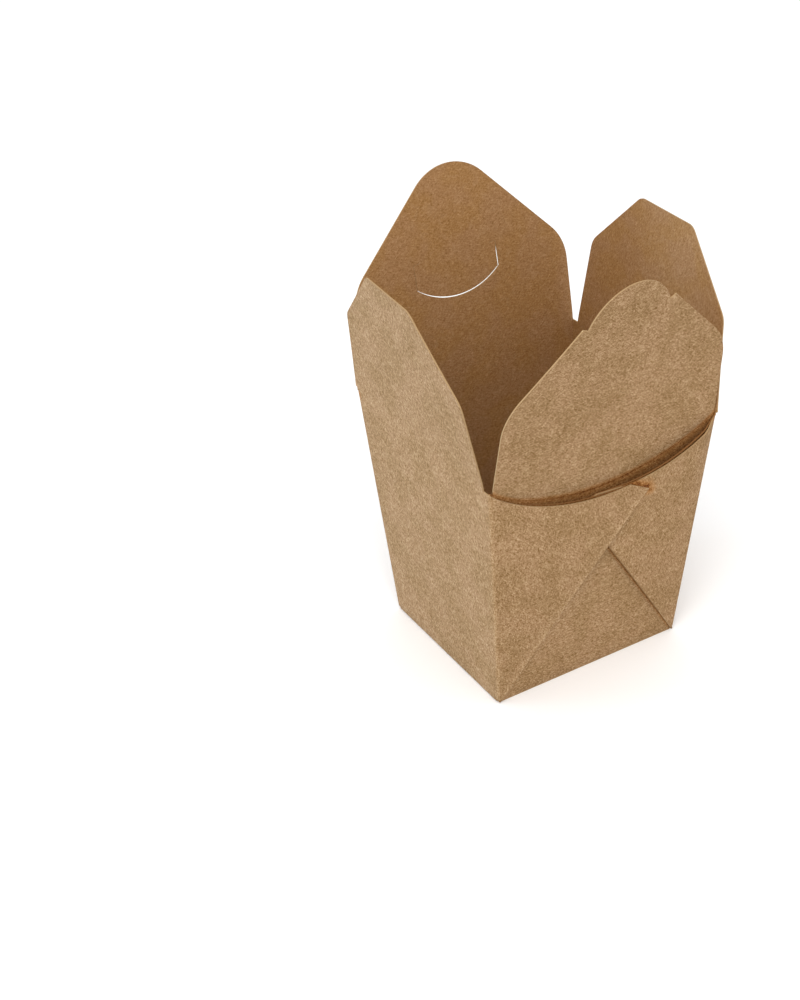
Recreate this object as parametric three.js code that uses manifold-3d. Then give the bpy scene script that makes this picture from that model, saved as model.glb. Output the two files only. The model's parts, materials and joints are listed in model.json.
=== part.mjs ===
// Noodle takeaway box of kraft board, standing with its four top flaps open.
//
// Units are millimetres and +Z is up. The origin is the centre of the bottom face. Each side of the
// box is described as it is seen from outside: u runs to the right, and v or s runs up the board.
// Side 0 is the front (-Y), side 1 carries the tab flap (+X), side 2 is the back (+Y), and side 3
// carries the slotted flap (-X). Sides 1 and 3 are gusseted: the corner webs fold flat over them.

import * as THREE from "three";
import { mergeVertices } from "three/addons/utils/BufferGeometryUtils.js";
import Module from "manifold-3d";

const wasm = await Module();
wasm.setup();

// Board
const BOARD = 0.5;
const EDGE_RADIUS = 1.2;
const CREASE_GAP = 0.35; // a flap and its wall each stop this far from the fold line between them

// Box: half widths at the floor and at the front and back fold lines
const HEIGHT = 100;
const BOTTOM_HALF = new THREE.Vector2(36, 41);
const TOP_HALF = new THREE.Vector2(45.5, 49.5);
const FLARE = TOP_HALF.clone().sub(BOTTOM_HALF).divideScalar(HEIGHT);

// Fold lines: the two long flaps fold higher than the dust flaps, and lie over them when shut
const SLOT_FOLD_HEIGHT = HEIGHT + 1.2;
const TAB_FOLD_HEIGHT = HEIGHT + 2.2;

// Corner webs, each of two layers, folded over the gusseted sides
const WEB_THICKNESS = 2 * BOARD;
const WEB_SINK = 0.3; // how far a web's root sits in the corner that it folds from
const WEB_SLANT = Math.hypot(HEIGHT, TOP_HALF.x - BOTTOM_HALF.x);
const WEB_TOP_SAG = 19;
const WEB_ARC_END = 9;
const WEB_TIP = new THREE.Vector2(16.3, 81.7);
const OUTER_WEB_LEAN = 4.5;
const INNER_WEB_LEAN = 0.8;

// Dust flaps at the front and back
const DUST_BASE = 44.7;
const DUST_HALF = 41;
const DUST_SHOULDER = 36;
const DUST_TOP_HALF = 16;
const DUST_LENGTH = 61.5;

// Long flaps: straight sides, round shoulders and 45-degree slopes
const LONG_HALF = 48.7;
const LONG_RADIUS = 20;
const SLOT_SHOULDER = 33;
const SLOT_APEX = 82.7;
const TAB_SHOULDER = 30;
const BARB = new THREE.Vector2(19, 58.6);
const NECK = new THREE.Vector2(16.3, 57.2);
const TAB_LENGTH = 71;

// Cut in the slotted flap that the tab locks into
const SLIT_WIDTH = 0.6;
const SLIT_HALF = 18;
const SLIT_BOTTOM = 23;
const SLIT_CORNER = 30.3;
const SLIT_TOP = 39.8;
const SLIT_HOOK = 2.4;

const ARC_STEPS = 20;

const kraft = new THREE.MeshStandardMaterial({ color: 0xa98a63, roughness: 0.85, metalness: 0 });
const kraftInside = new THREE.MeshStandardMaterial({ color: 0x9a7850, roughness: 0.85, metalness: 0 });

// A closed outline through corners [x, y, radius], with each corner that has a radius rounded.
function roundedOutline(corners) {
  const shape = new THREE.Shape();
  corners.forEach(([x, y, radius], index) => {
    const corner = new THREE.Vector2(x, y);
    if (!radius) {
      if (index === 0) shape.moveTo(x, y);
      else shape.lineTo(x, y);
      return;
    }
    const before = corners.at(index - 1);
    const after = corners[(index + 1) % corners.length];
    const back = new THREE.Vector2(before[0], before[1]).sub(corner).normalize();
    const ahead = new THREE.Vector2(after[0], after[1]).sub(corner).normalize();
    const half = Math.acos(back.dot(ahead)) / 2;
    const reach = radius / Math.tan(half);
    const bisector = back.clone().add(ahead).setLength(radius / Math.sin(half));
    const centre = corner.clone().add(bisector);
    const start = corner.clone().addScaledVector(back, reach).sub(centre);
    const end = corner.clone().addScaledVector(ahead, reach).sub(centre);
    shape.absarc(centre.x, centre.y, radius, start.angle(), end.angle(), back.cross(ahead) > 0);
  });
  return shape;
}

// Points along the arc through (-half, level) and (half, level) whose middle is `sag` below the chord,
// or above it where sag is negative.
function shallowArc(half, level, sag, from, to) {
  const radius = (half * half + sag * sag) / (2 * Math.abs(sag));
  const points = [];
  for (let step = 0; step <= ARC_STEPS; step += 1) {
    const u = from + ((to - from) * step) / ARC_STEPS;
    const lift = radius - Math.sqrt(radius * radius - u * u);
    points.push(new THREE.Vector2(u, level - sag + Math.sign(sag) * lift));
  }
  return points;
}

// A thin closed loop of the given width along a route, for a cut through the board.
function slit(route, width) {
  const sides = [[], []];
  route.forEach((point, index) => {
    const before = route[Math.max(index - 1, 0)];
    const after = route[Math.min(index + 1, route.length - 1)];
    const along = after.clone().sub(before).normalize();
    const across = new THREE.Vector2(-along.y, along.x);
    sides[0].push(point.clone().addScaledVector(across, width / 2));
    sides[1].unshift(point.clone().addScaledVector(across, -width / 2));
  });
  return new THREE.Path(sides.flat());
}

function plate(shape, thickness) {
  return new THREE.ExtrudeGeometry(shape, { depth: thickness, bevelEnabled: false, curveSegments: 4 });
}

// A flared block with the outer shape of the box, drawn in by `inset` on all four sides.
function flaredBlock(inset, bottom, top) {
  const x = BOTTOM_HALF.x - inset;
  const y = BOTTOM_HALF.y - inset;
  const radius = EDGE_RADIUS - inset;
  const outline = roundedOutline([[-x, -y, radius], [x, -y, radius], [x, y, radius], [-x, y, radius]]);
  const block = plate(outline, top - bottom).translate(0, 0, bottom);
  const position = block.attributes.position;
  for (let i = 0; i < position.count; i += 1) {
    const rise = position.getZ(i);
    position.setX(i, position.getX(i) + Math.sign(position.getX(i)) * FLARE.x * rise);
    position.setY(i, position.getY(i) + Math.sign(position.getY(i)) * FLARE.y * rise);
  }
  return block;
}

// Turns side coordinates (u, v, outward) on the face of a gusseted side into the box's frame.
function gussetPlacement(turns) {
  const lean = Math.atan(FLARE.x);
  const upright = new THREE.Matrix4().makeRotationX(Math.PI / 2 + lean);
  const out = new THREE.Matrix4().makeTranslation(0, -BOTTOM_HALF.x, 0);
  const around = new THREE.Matrix4().makeRotationZ((turns * Math.PI) / 2);
  return around.multiply(out).multiply(upright);
}

// One corner web, lying on a gusseted side and leaning off it about the corner that it folds from.
// hand is -1 for the web at the left corner and 1 for the one at the right.
function web(hand, leanDegrees) {
  const root = new THREE.Vector2(-BOTTOM_HALF.y, 0);
  const top = shallowArc(TOP_HALF.y, WEB_SLANT, WEB_TOP_SAG, WEB_ARC_END, -TOP_HALF.y);
  const outline = [root, WEB_TIP, ...top].map((point) => new THREE.Vector2(-hand * point.x, point.y));
  const sheet = plate(new THREE.Shape(outline), WEB_THICKNESS).translate(0, 0, -WEB_SINK);
  const edge = new THREE.Vector3(hand * (TOP_HALF.y - BOTTOM_HALF.y), WEB_SLANT, 0).normalize();
  const lean = new THREE.Matrix4().makeRotationAxis(edge, hand * THREE.MathUtils.degToRad(leanDegrees));
  const corner = hand * BOTTOM_HALF.y;
  return sheet.translate(-corner, 0, 0).applyMatrix4(lean).translate(corner, 0, 0);
}

function toSolid(geometry) {
  const bare = geometry.clone();
  bare.deleteAttribute("normal");
  bare.deleteAttribute("uv");
  const merged = mergeVertices(bare, 1e-4);
  const vertProperties = new Float32Array(merged.attributes.position.array);
  const triVerts = new Uint32Array(merged.index.array);
  return new wasm.Manifold(new wasm.Mesh({ numProp: 3, vertProperties, triVerts }));
}

function toGeometry(solid) {
  const { vertProperties, triVerts } = solid.getMesh();
  const geometry = new THREE.BufferGeometry();
  geometry.setAttribute("position", new THREE.BufferAttribute(new Float32Array(vertProperties), 3));
  geometry.setIndex(new THREE.BufferAttribute(new Uint32Array(triVerts), 1));
  geometry.computeVertexNormals();
  return geometry;
}

function boxBetween(low, high) {
  const size = high.clone().sub(low);
  const centre = low.clone().add(high).divideScalar(2);
  return new THREE.BoxGeometry(size.x, size.y, size.z).translate(centre.x, centre.y, centre.z);
}

// The carton: floor, four walls and four folded webs, all of one board.
function carton() {
  const reach = 80;
  const rim = TAB_FOLD_HEIGHT - CREASE_GAP;
  let body = toSolid(flaredBlock(0, 0, rim));
  for (const turns of [1, 3]) {
    const placement = gussetPlacement(turns);
    body = body.add(toSolid(web(1, INNER_WEB_LEAN).applyMatrix4(placement)));
    body = body.add(toSolid(web(-1, OUTER_WEB_LEAN).applyMatrix4(placement)));
  }
  body = body.subtract(toSolid(flaredBlock(BOARD, BOARD, rim + BOARD)));
  const foldEdge = TOP_HALF.y - BOARD - 0.05;
  const above = reach + HEIGHT;
  const cuts = [
    [new THREE.Vector3(-reach, -reach, HEIGHT - CREASE_GAP), new THREE.Vector3(reach, -foldEdge, above)],
    [new THREE.Vector3(-reach, foldEdge, HEIGHT - CREASE_GAP), new THREE.Vector3(reach, reach, above)],
    [new THREE.Vector3(-reach, -reach, SLOT_FOLD_HEIGHT - CREASE_GAP), new THREE.Vector3(0, reach, above)],
  ];
  for (const [low, high] of cuts) body = body.subtract(toSolid(boxBetween(low, high)));
  return toGeometry(body);
}

function dustFlap() {
  return roundedOutline([
    [-DUST_BASE, CREASE_GAP],
    [DUST_HALF, CREASE_GAP],
    [DUST_HALF, DUST_SHOULDER, 6],
    [DUST_TOP_HALF, DUST_LENGTH, 5],
    [-DUST_TOP_HALF, DUST_LENGTH, 5],
    [-DUST_HALF, DUST_SHOULDER, 6],
  ]);
}

function slottedFlap() {
  const shape = roundedOutline([
    [-LONG_HALF, CREASE_GAP],
    [LONG_HALF, CREASE_GAP],
    [LONG_HALF, SLOT_SHOULDER, LONG_RADIUS],
    [0, SLOT_APEX, LONG_RADIUS],
    [-LONG_HALF, SLOT_SHOULDER, LONG_RADIUS],
  ]);
  const sag = SLIT_CORNER - SLIT_BOTTOM;
  const bottom = shallowArc(SLIT_HALF, SLIT_CORNER, sag, -SLIT_HALF, SLIT_HALF);
  const left = [
    new THREE.Vector2(-SLIT_HALF + SLIT_HOOK, SLIT_TOP),
    new THREE.Vector2(-SLIT_HALF, SLIT_TOP),
  ];
  const right = left.map((point) => new THREE.Vector2(-point.x, point.y)).reverse();
  shape.holes.push(slit([...left, ...bottom, ...right], SLIT_WIDTH));
  return shape;
}

// The tab flap: its slopes end in two barbs, with the round tab between them.
function tabFlap() {
  const tab = shallowArc(NECK.x, NECK.y, NECK.y - TAB_LENGTH, NECK.x, -NECK.x);
  return roundedOutline([
    [-LONG_HALF, CREASE_GAP],
    [LONG_HALF, CREASE_GAP],
    [LONG_HALF, TAB_SHOULDER, LONG_RADIUS],
    [BARB.x, BARB.y],
    ...tab.map((point) => [point.x, point.y]),
    [-BARB.x, BARB.y],
    [-LONG_HALF, TAB_SHOULDER, LONG_RADIUS],
  ]);
}

const FLAPS = [
  { name: "dust_flap_front", outline: dustFlap(), fold: HEIGHT, lean: 10, material: kraft },
  { name: "tab_flap", outline: tabFlap(), fold: TAB_FOLD_HEIGHT, lean: 9.5, material: kraft },
  { name: "dust_flap_back", outline: dustFlap(), fold: HEIGHT, lean: 9, material: kraftInside },
  { name: "slot_flap", outline: slottedFlap(), fold: SLOT_FOLD_HEIGHT, lean: 11, material: kraftInside },
];

const box = new THREE.Group();

const body = new THREE.Mesh(carton(), kraft);
body.name = "carton";
box.add(body);

// Each flap stands on its fold line, in the middle of the board, and leans outwards from upright.
FLAPS.forEach(({ name, outline, fold, lean, material }, side) => {
  const across = side % 2 === 0 ? "y" : "x";
  const half = BOTTOM_HALF[across] + FLARE[across] * fold - BOARD / 2;
  const mesh = new THREE.Mesh(plate(outline, BOARD).translate(0, 0, -BOARD / 2), material);
  mesh.name = name;
  mesh.position.set(0, -half, fold);
  mesh.rotation.x = Math.PI / 2 + THREE.MathUtils.degToRad(lean);
  const turned = new THREE.Group();
  turned.rotation.z = (side * Math.PI) / 2;
  turned.add(mesh);
  box.add(turned);
});

export default box;
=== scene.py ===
"""Looks of a noodle takeaway box of kraft board, standing with its four top flaps open.

Every length is in metres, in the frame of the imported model: +Z up, origin in the middle of the
bottom face. A side of the box is described as it is seen from outside: `across` runs to the right
and `height` runs up. Side 0 is the front (-Y), side 1 carries the tab flap (+X), side 2 is the back
(+Y) and side 3 carries the slotted flap (-X).
"""

import json
import logging
import math
from dataclasses import dataclass, field, replace
from enum import Enum, IntEnum
from functools import partial, partialmethod
from itertools import product
from typing import Any, Callable, Iterable, Sequence

import bpy
import numpy as np
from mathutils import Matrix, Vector
from mathutils.geometry import delaunay_2d_cdt

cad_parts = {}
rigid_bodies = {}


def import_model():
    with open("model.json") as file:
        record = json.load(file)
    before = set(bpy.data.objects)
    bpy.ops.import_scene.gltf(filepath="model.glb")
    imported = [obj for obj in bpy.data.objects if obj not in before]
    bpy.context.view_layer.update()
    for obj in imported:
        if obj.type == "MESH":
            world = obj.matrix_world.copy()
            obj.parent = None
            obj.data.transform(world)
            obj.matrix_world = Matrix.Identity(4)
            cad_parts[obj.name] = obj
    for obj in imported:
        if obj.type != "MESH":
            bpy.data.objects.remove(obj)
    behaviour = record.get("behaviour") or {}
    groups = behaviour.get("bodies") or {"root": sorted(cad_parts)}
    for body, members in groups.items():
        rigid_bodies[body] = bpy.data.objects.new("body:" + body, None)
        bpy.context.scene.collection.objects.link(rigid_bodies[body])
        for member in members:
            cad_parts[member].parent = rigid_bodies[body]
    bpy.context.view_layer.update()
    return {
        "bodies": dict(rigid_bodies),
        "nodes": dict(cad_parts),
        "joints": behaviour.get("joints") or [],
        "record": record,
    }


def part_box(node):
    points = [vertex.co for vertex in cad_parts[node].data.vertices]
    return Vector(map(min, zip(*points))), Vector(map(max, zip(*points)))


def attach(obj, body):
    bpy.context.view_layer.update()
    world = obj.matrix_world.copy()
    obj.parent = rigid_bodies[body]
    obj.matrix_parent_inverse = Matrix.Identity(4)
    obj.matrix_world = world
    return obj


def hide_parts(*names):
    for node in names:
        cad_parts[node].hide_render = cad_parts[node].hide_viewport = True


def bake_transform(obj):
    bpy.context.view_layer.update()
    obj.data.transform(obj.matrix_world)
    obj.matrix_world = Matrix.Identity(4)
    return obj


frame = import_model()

log = logging.getLogger("noodle_box")

MM = 0.001
BOARD = 0.5 * MM
CORNER_RADIUS = 1.2 * MM
SLIVER = 5e-4  # a triangle flatter than this lies along an outline and has no width
SIDE_SHIFT = (0.31, 0.17, 0.0)  # how far apart two sides are cut from the same sheet of board
CRISP = math.radians(40)  # an edge sharper than this shows as an edge
WELD = 0.001 * MM
Point = tuple[float, float]
Triple = tuple[float, float, float]
Line = Sequence[Point]
Corners = Sequence[tuple[float, ...]]
Numbers = np.ndarray | float
Place = Callable[[np.ndarray], np.ndarray]


class Side(IntEnum):
    """The four sides, each a quarter turn on from the last."""

    FRONT = 0
    TAB = 1
    BACK = 2
    SLOT = 3


class Hand(IntEnum):
    """Which corner of a gusseted side a web folds from, seen from outside."""

    LEFT = -1
    RIGHT = 1


class Slot(Enum):
    """The material slots of the record."""

    OUTSIDE = "kraft_outside"
    INSIDE = "kraft_inside"


@dataclass(frozen=True)
class BoxSizes:
    """The driving sizes of the box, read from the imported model."""

    board: float
    corner_radius: float
    floor_half: Point
    flare: Point
    height: float
    slot_fold: float
    tab_fold: float

    @classmethod
    def from_frame(cls, packed: dict[str, Any]) -> "BoxSizes":
        """Works the sizes out from the carton's foot and the fold lines of the joints.


        Returns:
            The sizes, in metres.
        """
        joints = {joint["name"]: joint["pos_m"] for joint in packed["joints"]}
        low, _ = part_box("carton")
        points = np.array([vertex.co for vertex in packed["nodes"]["carton"].data.vertices])
        foot = points[points[:, 2] < low.z + 10 * WELD]
        half = (float(foot[:, 0].max()), float(foot[:, 1].max()))
        tab, dust = joints["tab_fold"], joints["dust_fold_back"]
        flare = (
            (tab[0] + BOARD / 2 - half[0]) / tab[2],
            (dust[1] + BOARD / 2 - half[1]) / dust[2],
        )
        return cls(BOARD, CORNER_RADIUS, half, flare, dust[2], joints["slot_fold"][2], tab[2])

    def half_width(self, side: int, height: Numbers) -> Numbers:
        """Half the width of a side at a height above the floor."""
        return self.floor_half[side % 2] + self.flare[side % 2] * height

    def reach(self, side: int, height: Numbers) -> Numbers:
        """Distance from the box's axis to the outer face of a side at a height."""
        return self.half_width(side + 1, height)


# --------------------------------------------------------------------------------------------
# Flat outlines and their meshes
# --------------------------------------------------------------------------------------------


def smooth_step(value: Numbers) -> np.ndarray:
    """Rises smoothly from 0 to 1 as the value goes from 0 to 1."""
    t = np.clip(value, 0.0, 1.0)
    return t * t * (3 - 2 * t)


@dataclass(frozen=True)
class Mark:
    """A mark that fades with the distance from a line: whole near it, gone at `end` lengths."""

    strength: float
    end: float
    length: float

    def at(self, distance: Numbers) -> np.ndarray:
        """How strong the mark is at a distance from its line."""
        return self.strength * smooth_step(self.end - distance / self.length)


def arc_drop(across: Numbers, half: float, sag: float) -> Numbers:
    """How far a shallow arc through (-half, 0) and (half, 0) lies below its chord."""
    radius = (half * half + sag * sag) / (2 * sag)
    return sag - radius + np.sqrt(np.maximum(radius * radius - np.square(across), 0.0))


def rounded_outline(corners: Corners, step: float = 0.2) -> list[Point]:
    """Draws a closed outline whose corners may be rounded.

    Args:
        corners: Corners (x, y) or (x, y, radius), in order.
        step: Largest turn between two points of a rounded corner, in radians.

    Returns:
        The points of the outline.
    """
    points: list[Point] = []
    for index, corner in enumerate(corners):
        here = Vector(corner[:2])
        radius = corner[2] if len(corner) > 2 else 0.0
        if radius == 0.0:
            points.append(tuple(here))
            continue
        back = (Vector(corners[index - 1][:2]) - here).normalized()
        ahead = (Vector(corners[(index + 1) % len(corners)][:2]) - here).normalized()
        half = back.angle(ahead) / 2
        centre = here + (back + ahead).normalized() * (radius / math.sin(half))
        start = here + back * (radius / math.tan(half)) - centre
        turn = (math.pi - 2 * half) * (1 if back.x * ahead.y - back.y * ahead.x < 0 else -1)
        count = max(2, math.ceil(abs(turn) / step))
        for part in range(count + 1):
            cosine, sine = math.cos(turn * part / count), math.sin(turn * part / count)
            points.append((
                centre.x + start.x * cosine - start.y * sine,
                centre.y + start.x * sine + start.y * cosine,
            ))
    return points


def level_lines(reach: float, levels: Iterable[float], count: int = 30) -> list[Line]:
    """Draws lines straight across a sheet, each of `count` points from -reach to reach."""
    return [[(x, level) for x in np.linspace(-reach, reach, count)] for level in levels]


def inside(points: np.ndarray, loop: np.ndarray) -> np.ndarray:
    """Says which points lie inside a closed loop.

    Args:
        points: Points, one to a row.
        loop: Corners of the loop, one to a row.

    Returns:
        One truth value for each point.
    """
    result = np.zeros(len(points), bool)
    x, y = points[:, 0], points[:, 1]
    for (ax, ay), (bx, by) in zip(loop, np.roll(loop, -1, axis=0)):
        if ay != by:
            result ^= ((ay > y) != (by > y)) & (x < (bx - ax) * (y - ay) / (by - ay) + ax)
    return result


def edge_distance(points: np.ndarray, loops: Iterable[np.ndarray]) -> np.ndarray:
    """Distance from each point to the nearest edge of some closed loops.

    Args:
        points: Points, one to a row.
        loops: The loops, each with one corner to a row.

    Returns:
        One distance for each point.
    """
    nearest = np.full(len(points), np.inf)
    for loop in loops:
        for start, end in zip(loop, np.roll(loop, -1, axis=0)):
            along = end - start
            square = max(float(along @ along), 1e-18)
            share = np.clip(((points - start) @ along) / square, 0, 1)
            gap = points - start - share[:, None] * along
            nearest = np.minimum(nearest, np.hypot(gap[:, 0], gap[:, 1]))
    return nearest


def split_long(loop: Line, step: float) -> np.ndarray:
    """Adds points along the edges of a closed loop, so that none is longer than `step`.

    Args:
        loop: Corners of the loop.
        step: The longest that an edge may be.

    Returns:
        The points, one to a row.
    """
    points = []
    for start, end in zip(loop, [*loop[1:], loop[0]]):
        start, end = np.array(start), np.array(end)
        count = max(1, math.ceil(float(np.linalg.norm(end - start)) / step))
        points.extend(start + (end - start) * part / count for part in range(count))
    return np.array(points)


def add_object(name: str, data: bpy.types.ID) -> bpy.types.Object:
    """Adds an object to the scene.

    Args:
        name: The object's name.
        data: Its mesh, curve, light or camera.

    Returns:
        The object.
    """
    piece = bpy.data.objects.new(name, data)
    bpy.context.scene.collection.objects.link(piece)
    return piece


@dataclass
class FlatSheet:
    """A flat piece of board: an outline, cuts through it, and lines that its folds follow."""

    outline: Line
    cuts: Sequence[Line] = ()
    folds: Sequence[Line] = ()
    spacing: float = 3.0 * MM

    def held(self, points: np.ndarray, loops: list[np.ndarray]) -> np.ndarray:
        """Says which points lie on the board: inside the outline and outside every cut."""
        return inside(points, loops[0]) & ~np.any([inside(points, cut) for cut in loops[1:]], axis=0)

    def grid(self, loops: list[np.ndarray]) -> np.ndarray:
        """Spreads points evenly over the board, clear of its edges and fold lines.

        Args:
            loops: The outline and the cuts.

        Returns:
            The points, one to a row.
        """
        low, high = loops[0].min(0), loops[0].max(0)
        rows = np.arange(low[1], high[1], self.spacing * math.sqrt(3) / 2)
        points = np.array([
            (x, y)
            for index, y in enumerate(rows)
            for x in np.arange(low[0] + (index % 2) * self.spacing / 2, high[0], self.spacing)
        ])
        points = points[self.held(points, loops)]
        lines = [*loops, *(np.array(fold) for fold in self.folds)]
        return points[edge_distance(points, lines) > self.spacing * 0.45]

    def triangles(self) -> tuple[np.ndarray, np.ndarray]:
        """Cuts the sheet into triangles.

        Returns:
            The flat points, and the three corners of each triangle.
        """
        loops = [split_long(self.outline, self.spacing)]
        loops += [split_long(cut, self.spacing / 2) for cut in self.cuts]
        points: list[np.ndarray] = []
        edges: list[tuple[int, int]] = []
        for line, is_closed in [(loop, True) for loop in loops] + [(fold, False) for fold in self.folds]:
            first, count = len(points), len(line)
            points.extend(np.array(point) for point in line)
            edges += [(first + i, first + (i + 1) % count) for i in range(count - (not is_closed))]
        points.extend(self.grid(loops))
        found = delaunay_2d_cdt([Vector(point / MM) for point in points], edges, [], 0, 1e-5)
        flat = np.array([tuple(vertex) for vertex in found[0]]) * MM
        faces = np.array([face for face in found[2] if len(face) == 3])
        faces = faces[self.held(flat[faces].mean(1), loops)]
        a, b, c = flat[faces[:, 0]], flat[faces[:, 1]], flat[faces[:, 2]]
        area = (b[:, 0] - a[:, 0]) * (c[:, 1] - a[:, 1]) - (b[:, 1] - a[:, 1]) * (c[:, 0] - a[:, 0])
        longest = np.max([((q - p) ** 2).sum(1) for p, q in ((a, b), (b, c), (c, a))], axis=0)
        sound = np.abs(area) > SLIVER * longest
        faces, area = faces[sound], area[sound]
        faces[area < 0] = faces[area < 0][:, ::-1]
        used, renamed = np.unique(faces, return_inverse=True)
        return flat[used], renamed.reshape(-1, 3)

    def mesh(
        self, name: str, place: Place | None = None, turn: int = 0, lift: float = 0.0, **masks: Place
    ) -> bpy.types.Object:
        """Makes the sheet an object whose faces point to the outside of the box.

        Args:
            name: The object's name.
            place: Turns flat points into places in the box, or None to leave the sheet flat.
            turn: Number of the side, which sets how the board's grain runs.
            lift: Height of y = 0 on the side's whole sheet, so that the grain runs on.
            masks: How much each flat point is paler from wear and a painted highlight, or darker
            from painted shade, from 0 to 1.

        Returns:
            The object, with the flat place of each point in the attribute `blank` and each mask in
            an attribute of its own name.
        """
        flat, faces = self.triangles()
        spots = np.c_[flat, np.zeros(len(flat))]
        data = bpy.data.meshes.new(name)
        places = spots if place is None else place(flat)
        data.from_pydata(places.tolist(), [], faces.tolist(), shade_flat=False)
        blank = data.attributes.new("blank", "FLOAT_VECTOR", "POINT")
        lifted = spots + [0, lift, 0]
        grain = lifted[:, [1, 0, 2]] if turn % 2 else lifted
        blank.data.foreach_set("vector", (grain + turn * np.array(SIDE_SHIFT)).ravel())
        for label, mask in masks.items():
            data.attributes.new(label, "FLOAT", "POINT").data.foreach_set("value", mask(flat))
        return add_object(name, data)


# --------------------------------------------------------------------------------------------
# Node trees
# --------------------------------------------------------------------------------------------


def add_node(tree: bpy.types.NodeTree, kind: str, given: dict[Any, Any] | None = None) -> Any:
    """Adds a node to a tree.

    Args:
        tree: The tree that the node goes in.
        kind: The node's type.
        given: Its properties by name and its inputs by name or number. A socket, a Number or a list
            of sockets is plugged in. Anything else is set as the value.

    Returns:
        The node's outputs.
    """
    node = tree.nodes.new(kind)
    for name, value in (given or {}).items():
        value = value.socket if isinstance(value, Number) else value
        sources = value if isinstance(value, list) else [value]
        if isinstance(sources[0], bpy.types.NodeSocket):
            for source in sources:
                tree.links.new(source, node.inputs[name])
        elif isinstance(name, str) and hasattr(node, name):
            setattr(node, name, value)
        else:
            node.inputs[name].default_value = value
    return node.outputs


@dataclass(frozen=True)
class Number:
    """A number in a node tree. Arithmetic on it adds Math nodes to that tree."""

    tree: bpy.types.NodeTree
    socket: bpy.types.NodeSocket

    def math(self, operation: str, *others: Any) -> "Number":
        """Adds one Math node, whose inputs are this number and then the others."""
        given = {"operation": operation, **dict(enumerate((self, *others)))}
        return Number(self.tree, add_node(self.tree, "ShaderNodeMath", given)[0])

    __add__ = partialmethod(math, "ADD")
    __sub__ = partialmethod(math, "SUBTRACT")
    __mul__ = partialmethod(math, "MULTIPLY")
    __truediv__ = partialmethod(math, "DIVIDE")

    def __rsub__(self, other: float) -> "Number":
        """Takes this number from a plain one."""
        return self * -1.0 + other


def linear(code: str) -> tuple[float, float, float, float]:
    """Turns an sRGB hex colour into linear light.

    Args:
        code: The colour, as # and six digits.

    Returns:
        Its red, green, blue and opacity.
    """
    channels = [int(code[i:i + 2], 16) / 255 for i in (1, 3, 5)]
    values = [c / 12.92 if c <= 0.04045 else ((c + 0.055) / 1.055) ** 2.4 for c in channels]
    return (*values, 1.0)


def start_material(name: str) -> bpy.types.Material:
    """Starts a material with an empty tree.

    Args:
        name: The material's name.

    Returns:
        The material.
    """
    material = bpy.data.materials.new(name)
    material.use_nodes = True
    material.node_tree.nodes.clear()
    return material


def paint_over(tree: bpy.types.NodeTree, code: str, layers: Iterable[tuple[Any, str]]) -> Any:
    """Paints colours over one another.

    Args:
        tree: The material's tree.
        code: The first colour.
        layers: The share and the colour of each layer over it.

    Returns:
        The colour that comes out.
    """
    colour = linear(code)
    for share, layer in layers:
        colour = add_node(tree, "ShaderNodeMix", {
            "data_type": "RGBA", 0: share, 6: colour, 7: linear(layer),
        })[2]
    return colour


def end_material(
    tree: bpy.types.NodeTree, colour: Any, height: Any, relief: float, roughness: float, gloss: float
) -> None:
    """Ends a material as matt board with a fine relief.

    Args:
        tree: The material's tree.
        colour: Its colour.
        height: Its relief, from 0 to 1.
        relief: How high that relief stands.
        roughness: How matt it is.
        gloss: Level of its reflection.
    """
    bump = add_node(tree, "ShaderNodeBump", {"Strength": 0.4, "Distance": relief, "Height": height})[0]
    shader = add_node(tree, "ShaderNodeBsdfPrincipled", {
        "Roughness": roughness, "IOR": 1.45, "Specular IOR Level": gloss,
        "Base Color": colour, "Normal": bump,
    })[0]
    add_node(tree, "ShaderNodeOutputMaterial", {0: shader})


@dataclass(frozen=True)
class Noise:
    """A noise over the board: the size of its blotches, how fine it goes and how bent they are."""

    size: float
    detail: float
    bend: float

    def add(self, tree: bpy.types.NodeTree, blank: Any) -> Number:
        """Adds the noise to a material, over the flat place on the board.

        Args:
            tree: The material's tree.
            blank: Flat place on the board.

        Returns:
            The noise, from 0 to 1.
        """
        return Number(tree, add_node(tree, "ShaderNodeTexNoise", {
            "Scale": 1 / self.size, "Detail": self.detail, "Roughness": 0.65,
            "Distortion": self.bend, "Vector": blank,
        })[0])


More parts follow.
